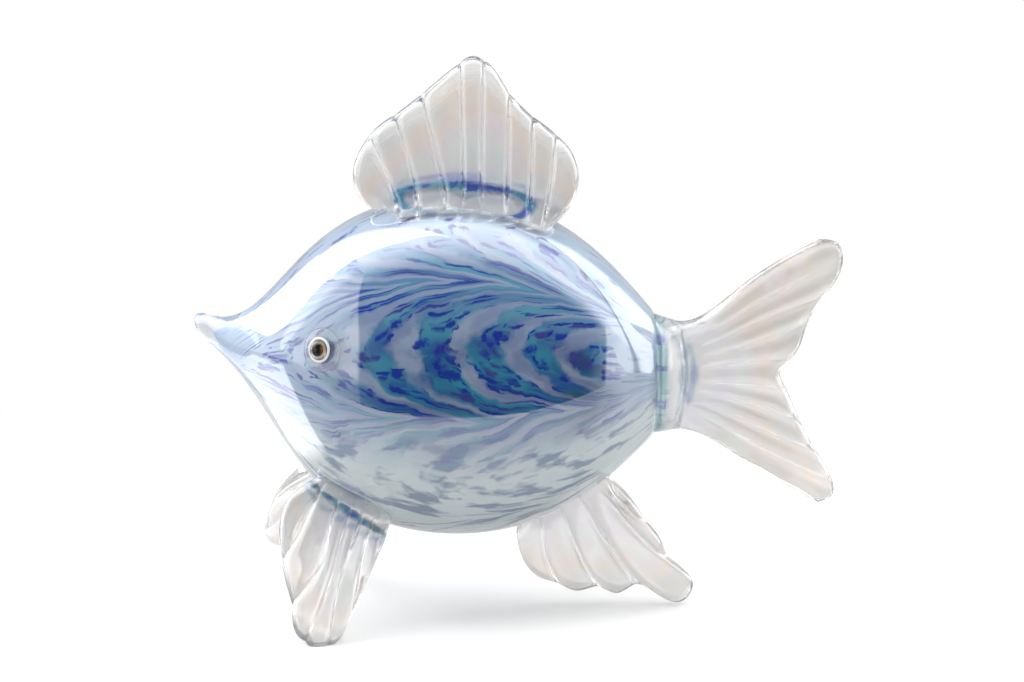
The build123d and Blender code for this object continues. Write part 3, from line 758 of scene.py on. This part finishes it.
dorsal = dict(
    usualFin, grooveDepth=0.34, grooveWidth=5.0, edgeNick=0.02, rootHalf=7.0, edgeHalf=4.3, rootFall=1.6,
    flare=9.0, edgeRound=14.0, sideRound=10.0, rootSideRound=4.0, ribStart=0.06, ribFull=0.3,
    panelShare=1.0, panelEdge=0.78, lineShare=1.0, rippleShare=0.25, wobble=1.2, wobbleScale=28.0, seed=3.0,
    foot=dict(usualFoot, place=(-18.4, 144.4), half=(22.4, 5.4), turn=-3.5, square=2.2, lineHalf=3.0,
              smokeIn=3.6, smokeHalf=2.4, smokeShare=1.0), stops=(0, 0.45, 1),
    lines=((0.00, (-39.5, 137.5), (-41.0, 139.5), (-43.0, 140.6)),
           (0.25, (-39.5, 137.0), (-44.0, 140.0), (-49.0, 140.4)),
           (0.45, (-39.5, 137.0), (-46.0, 142.5), (-54.0, 144.6)),
           (0.65, (-39.3, 137.0), (-46.5, 145.0), (-56.2, 152.6)),
           (0.82, (-39.0, 137.0), (-45.5, 147.5), (-54.4, 159.4)),
           (1.00, (-38.5, 137.0), (-43.0, 149.0), (-50.4, 166.0)),
           (2.00, (-33.0, 137.8), (-36.0, 152.5), (-41.8, 172.9)),
           (3.00, (-23.5, 138.6), (-27.0, 155.5), (-32.9, 179.8)),
           (4.00, (-18.8, 138.8), (-19.0, 161.0), (-19.6, 190.8)),
           (4.50, (-15.8, 138.8), (-15.8, 161.5), (-16.0, 192.7)),
           (5.00, (-12.8, 138.6), (-12.8, 161.0), (-12.0, 191.6)),
           (6.00, (-4.2, 136.8), (-3.8, 155.5), (-3.4, 180.6)),
           (7.00, (3.2, 134.6), (4.0, 151.0), (4.6, 172.4)),
           (8.00, (7.0, 132.6), (10.3, 147.0), (12.4, 166.3)),
           (8.20, (7.5, 132.5), (12.2, 145.0), (16.8, 161.7)),
           (8.45, (8.0, 132.5), (13.5, 142.5), (19.6, 155.6)),
           (8.65, (8.0, 132.5), (13.5, 139.5), (20.2, 149.5)),
           (8.80, (8.0, 132.5), (12.8, 137.0), (18.4, 143.4)),
           (8.92, (7.8, 132.6), (11.0, 135.0), (15.0, 138.4)),
           (9.00, (7.5, 132.8), (9.0, 134.5), (11.0, 136.9))))
ribbedFin("ribbedDorsalFin", dorsal, "dorsal_fin")

tail = dict(
    usualFin, grooveDepth=0.15, grooveWidth=2.0, edgeNick=0.0, rootHalf=6.5, edgeHalf=3.8, rootFall=1.2,
    flare=0.0, flareReach=0.1, edgeRound=16.0, rootSideRound=2.0, ribStart=0.22, ribFull=0.5, collarHalf=18.2,
    panelShare=0.85, panelEdge=0.97, lineShare=0.2, rippleShare=0.8, wobble=4.2, wobbleScale=24.0, seed=8.0,
    foot=dict(usualFoot, place=(58.0, 84.0), half=(1.5, 9.0), lineHalf=2.6, lineShare=0.5),
    stops=(0, 0.25, 0.58, 1),
    lines=((0.0, (45.3, 104.2), (58.5, 101.6), (77.5, 115.0), (102.5, 130.0)),
           (0.5, (45.3, 101.5), (59.0, 99.0), (79.5, 111.5), (108.6, 128.4)),
           (1.0, (45.3, 99.0), (59.3, 96.8), (80.0, 107.5), (110.4, 123.2)),
           (2.0, (45.3, 94.3), (60.0, 93.2), (80.0, 101.0), (105.0, 111.0)),
           (3.0, (45.3, 90.0), (60.5, 89.8), (79.0, 94.0), (99.0, 101.5)),
           (4.0, (45.3, 85.8), (61.0, 86.3), (77.0, 87.5), (94.0, 89.0)),
           (4.5, (45.3, 83.0), (61.0, 83.5), (76.0, 84.0), (89.6, 84.0)),
           (5.0, (45.3, 80.4), (61.0, 80.6), (77.0, 80.0), (91.4, 78.2)),
           (6.0, (45.3, 76.0), (60.5, 77.0), (79.0, 73.5), (96.6, 66.6)),
           (7.0, (45.3, 71.6), (60.0, 73.2), (80.0, 66.0), (102.6, 55.6)),
           (8.0, (45.3, 67.0), (59.5, 69.2), (80.5, 59.0), (108.2, 45.6)),
           (8.5, (45.3, 64.4), (59.0, 66.0), (80.0, 54.5), (108.6, 39.6)),
           (9.0, (45.3, 61.8), (58.5, 62.8), (77.5, 52.2), (103.5, 36.9))))
ribbedFin("ribbedTailFin", tail, "tail_fin")

anal = dict(
    usualFin, grooveDepth=0.36, grooveWidth=2.6, rootHalf=6.5, edgeHalf=4.4, flare=4.0, flareReach=0.14,
    panelShare=0.85, rippleShare=0.5, seed=5.0,
    lines=((0.0, (4.5, 38.0), (2.0, 33.0), (0.0, 29.5), (-1.0, 26.0)),
           (0.35, (5.5, 39.0), (3.0, 30.0), (1.2, 24.0), (0.8, 17.6)),
           (0.7, (6.5, 40.0), (5.0, 28.0), (5.0, 19.0), (7.6, 9.6)),
           (1.0, (7.5, 41.0), (8.2, 28.0), (9.4, 18.5), (13.4, 7.4)),
           (1.5, (10.0, 42.5), (12.5, 28.5), (15.2, 17.5), (20.6, 4.8)),
           (2.0, (12.5, 44.0), (17.0, 29.5), (21.0, 18.5), (27.4, 6.0)),
           (2.5, (15.0, 45.5), (21.5, 30.5), (26.5, 18.5), (34.4, 4.0)),
           (3.0, (17.5, 47.0), (25.5, 32.0), (32.0, 20.5), (41.0, 6.8)),
           (3.25, (19.0, 48.0), (28.5, 32.0), (36.5, 19.0), (49.6, 2.6)),
           (3.5, (20.5, 49.0), (31.0, 32.5), (40.5, 19.5), (57.0, 1.0)),
           (3.7, (21.5, 49.5), (32.5, 33.5), (43.0, 22.0), (60.8, 7.4)),
           (4.0, (23.0, 50.5), (34.0, 35.0), (42.5, 25.5), (52.4, 16.8)),
           (4.5, (25.5, 51.5), (34.5, 37.5), (41.5, 30.5), (49.4, 23.4)),
           (5.0, (27.5, 52.5), (34.0, 40.0), (39.0, 34.5), (44.6, 30.2)),
           (5.5, (29.0, 53.2), (32.5, 43.2), (35.8, 40.5), (38.6, 38.6)),
           (6.0, (29.8, 53.6), (30.2, 48.5), (30.6, 46.5), (31.4, 44.6))))
ribbedFin("ribbedAnalFin", anal, "anal_fin")

pectoral = dict(
    usualFin, rootShare=0.312, rootAngle=20.0, rootLength=33.0, tipShare=0.258, stance=94.0, sink=0.8,
    rightLead=7.0, grooveDepth=0.34, grooveWidth=3.2, rootHalf=6.0, edgeHalf=4.0, flare=6.0,
    panelShare=0.70, rippleShare=0.3, seed=11.0,
    foot=dict(usualFoot, place=(5.0, 2.0), half=(18.5, 5.6), turn=2.5, square=2.6, lineHalf=2.1),
    lines=((0.0, (-8.0, 5.0), (-9.8, 2.0), (-11.0, -1.0), (-12.1, -3.9)),
           (0.4, (-7.5, 5.5), (-10.0, -1.0), (-12.0, -6.0), (-13.2, -11.0)),
           (0.7, (-7.0, 6.0), (-8.8, -5.0), (-10.0, -13.0), (-9.8, -20.4)),
           (1.0, (-6.5, 6.2), (-5.6, -8.0), (-3.2, -18.5), (-1.6, -30.0)),
           (1.5, (-4.0, 6.5), (-0.8, -10.0), (1.6, -22.0), (4.4, -35.3)),
           (2.0, (-1.5, 6.8), (3.8, -11.0), (9.2, -24.0), (10.2, -40.2)),
           (2.5, (1.0, 7.0), (6.5, -11.0), (12.5, -27.0), (16.2, -46.4)),
           (3.0, (3.5, 7.0), (9.0, -11.5), (15.5, -27.5), (21.4, -47.8)),
           (3.5, (6.0, 7.0), (11.0, -11.0), (18.0, -28.0), (25.4, -47.2)),
           (4.0, (8.5, 7.0), (13.0, -10.5), (20.0, -28.5), (28.6, -44.4)),
           (4.5, (11.0, 7.0), (15.5, -9.5), (22.5, -25.5), (30.0, -38.4)),
           (5.0, (13.0, 7.0), (17.2, -8.5), (22.8, -19.5), (28.9, -32.8)),
           (5.5, (15.5, 7.2), (19.0, -4.0), (22.8, -13.0), (26.4, -22.0)),
           (6.0, (18.0, 8.0), (20.0, 2.5), (21.8, -2.5), (23.0, -8.0))),
    rightFront=((0.0, (-1.5, 5.0), (-0.5, 1.0), (0.3, -3.0), (1.2, -7.0)),
                (0.4, (-1.0, 5.5), (-0.4, -1.0), (-0.2, -7.0), (0.2, -13.0)),
                (0.7, (-0.6, 5.8), (0.0, -4.0), (0.0, -13.0), (0.6, -21.5)),
                (1.0, (0.0, 6.0), (1.4, -8.0), (2.0, -20.0), (3.0, -30.5)),
                (1.5, (0.8, 6.4), (3.2, -10.5), (5.2, -24.5), (7.2, -39.0)),
                (2.0, (1.8, 6.8), (5.6, -12.0), (9.2, -28.0), (12.0, -46.6)),
                (2.5, (2.6, 7.0), (7.4, -12.0), (12.4, -29.0), (16.8, -50.0)),
                (3.0, (3.5, 7.0), (9.0, -12.0), (15.0, -29.0), (21.0, -49.0))))


def pectoralFrame(lead):  # place and axes of the fin on the near side
    rootX = body["noseX"] + pectoral["rootShare"] * body["length"] - lead
    tipX = body["noseX"] + pectoral["tipShare"] * body["length"] - lead
    angle, half = radians(pectoral["rootAngle"]), pectoral["rootLength"] / 2
    downOut = (0, -sin(angle), -cos(angle))
    front, middle, rear = (skinPoint((x, 0, centreHeight(x - body["noseX"])), downOut)[0]
                           for x in (rootX - half, rootX, rootX + half))
    along = unit(rear - front)
    reach = np.array((tipX, -pectoral["stance"] / 2, -pectoral["sink"])) - middle
    up = unit(along * reach.dot(along) - reach)
    return np.array((middle, along, up, np.cross(along, up)))


frontCount = len(pectoral["rightFront"])
rightPectoral = dict(pectoral, seed=14.0, flare=2.0, edgeNick=0.0, grooveDepth=0.22,
                     lines=pectoral["rightFront"] + pectoral["lines"][frontCount:])
ribbedFin("ribbedLeftPectoralFin", pectoral, "left_pectoral_fin", *pectoralFrame(0))
ribbedFin("ribbedRightPectoralFin", rightPectoral, "right_pectoral_fin",
          *(pectoralFrame(pectoral["rightLead"]) * (1, -1, 1)))


# Eyes: turned profiles set on the flank

# lengths in millimetres, turns in degrees
eye = dict(alongShare=0.288, height=13.5, seatRadius=7.4, seatRise=0.75, seatTop=1.3, seatSink=0.05,
           seatUnder=0.2, seatFall=1.5, seatRings=20, seatSearch=(-9.0, 3.0), socketFloor=0.4,
           whiteRadius=4.3, whiteTop=1.7, whiteFoot=0.6, whiteRim=0.9, rimShare=0.3, rimTurn=(-30, 90),
           rimSteps=16, pupilRadius=1.75, pupilDepth=0.8, pupilRoom=0.02, pupilCrown=((0.6, 0.1), (0, 0.12)),
           lensRadius=3.6, lensHeight=2.5, lensSink=0.3, domeSteps=20, steps=72)


def domeArc(radius, foot, top):  # points from the rim of a dome up to its crown
    rise = top - foot
    ball = (radius ** 2 + rise ** 2) / (2 * rise)
    radii = np.linspace(radius, 0, eye["domeSteps"])
    return [(r, top - ball + sqrt(max(ball ** 2 - r ** 2, 0))) for r in radii]


def spokesAround(outward):  # unit vectors square to the eye's axis
    side = unit(np.cross(outward, (0, 0, 1)))
    turns = 2 * np.pi * np.arange(eye["steps"]) / eye["steps"]
    return [side * cos(turn) + np.cross(side, outward) * sin(turn) for turn in turns]


def turnedPiece(name, profile, place, outward):
    points = [(place + spoke * r + outward * h) * mm for spoke in spokesAround(outward) for r, h in profile]
    piece = meshFrom(name, points, quads(eye["steps"], len(profile), countMeets=False))
    cleanUp(piece)
    radius = piece.data.attributes.new("radius", "FLOAT", "POINT")  # distance from the piece's axis
    for vertex in piece.data.vertices:
        radius.data[vertex.index].value = (vertex.co - Vector(place) * mm).cross(Vector(outward)).length
    return piece


def eyeSeat(name, place, outward):  # low mound that runs out smoothly into the flank
    radii = np.linspace(0, eye["seatRadius"], eye["seatRings"])
    rise = eye["seatRise"] * (1 - (radii / eye["seatRadius"]) ** 2) ** eye["seatFall"] - eye["seatSink"]
    points = []
    for spoke in spokesAround(outward):
        skin = np.array([skinReach(place + spoke * r, outward, *eye["seatSearch"]) for r in radii])
        over, under = np.minimum(skin + rise, eye["seatTop"]), skin - eye["seatUnder"]
        outline = zip([*radii, *radii[::-1]], [*over, *under[::-1]])
        points += [(place + spoke * r + outward * h) * mm for r, h in outline]
    piece = meshFrom(name, points, quads(eye["steps"], 2 * len(radii)))
    cleanUp(piece)
    return piece


top, foot, hole = eye["whiteTop"], eye["socketFloor"], eye["pupilRadius"]
rimHalf = (top - foot) * eye["rimShare"]
rim = [(eye["whiteRadius"] - eye["whiteRim"] * (1 - cos(turn)), top - rimHalf + rimHalf * sin(turn))
       for turn in np.radians(np.linspace(*eye["rimTurn"], eye["rimSteps"]))]
holeFloor, room = top - eye["pupilDepth"], eye["pupilRoom"]
whiteProfile = [(0, foot), (eye["whiteRadius"] * eye["whiteFoot"], foot)] + rim + [
    (hole, top), (hole, holeFloor), (0, holeFloor)]
pupilProfile = [(0, holeFloor + room), (hole - room, holeFloor + room), (hole - room, top + room)] + [
    (hole * share, top + height) for share, height in eye["pupilCrown"]]
lensFoot = top - eye["lensSink"]  # sunk in the white, so that no gap of air shows under it
lensProfile = [(0, lensFoot), (eye["lensRadius"], lensFoot)] + domeArc(
    eye["lensRadius"], lensFoot, top + eye["lensHeight"])

for sideName, side in (("left", -1), ("right", 1)):
    eyeX = body["noseX"] + eye["alongShare"] * body["length"]
    place, outward = skinPoint((eyeX, 0, axisZ + eye["height"]), (0, side, 0))
    seat = eyeSeat(sideName + "EyeSeat", place, outward)
    seat.data.materials.append(seatGlass)
    standIn(seat, sideName + "_eye_seat")
    for part, profile, material, slot in (("White", whiteProfile, eyeWhiteMat, "white_glass"),
                                          ("Pupil", pupilProfile, pupilMat, "dark_glass"),
                                          ("Lens", lensProfile, lensMat, "clear_glass")):
        piece = turnedPiece(sideName + "Eye" + part, profile, place, outward)
        piece.data.materials.append(material)
        standIn(piece, sideName + "_eye_" + part.lower())
print("eyes made")


print("pieces ready")
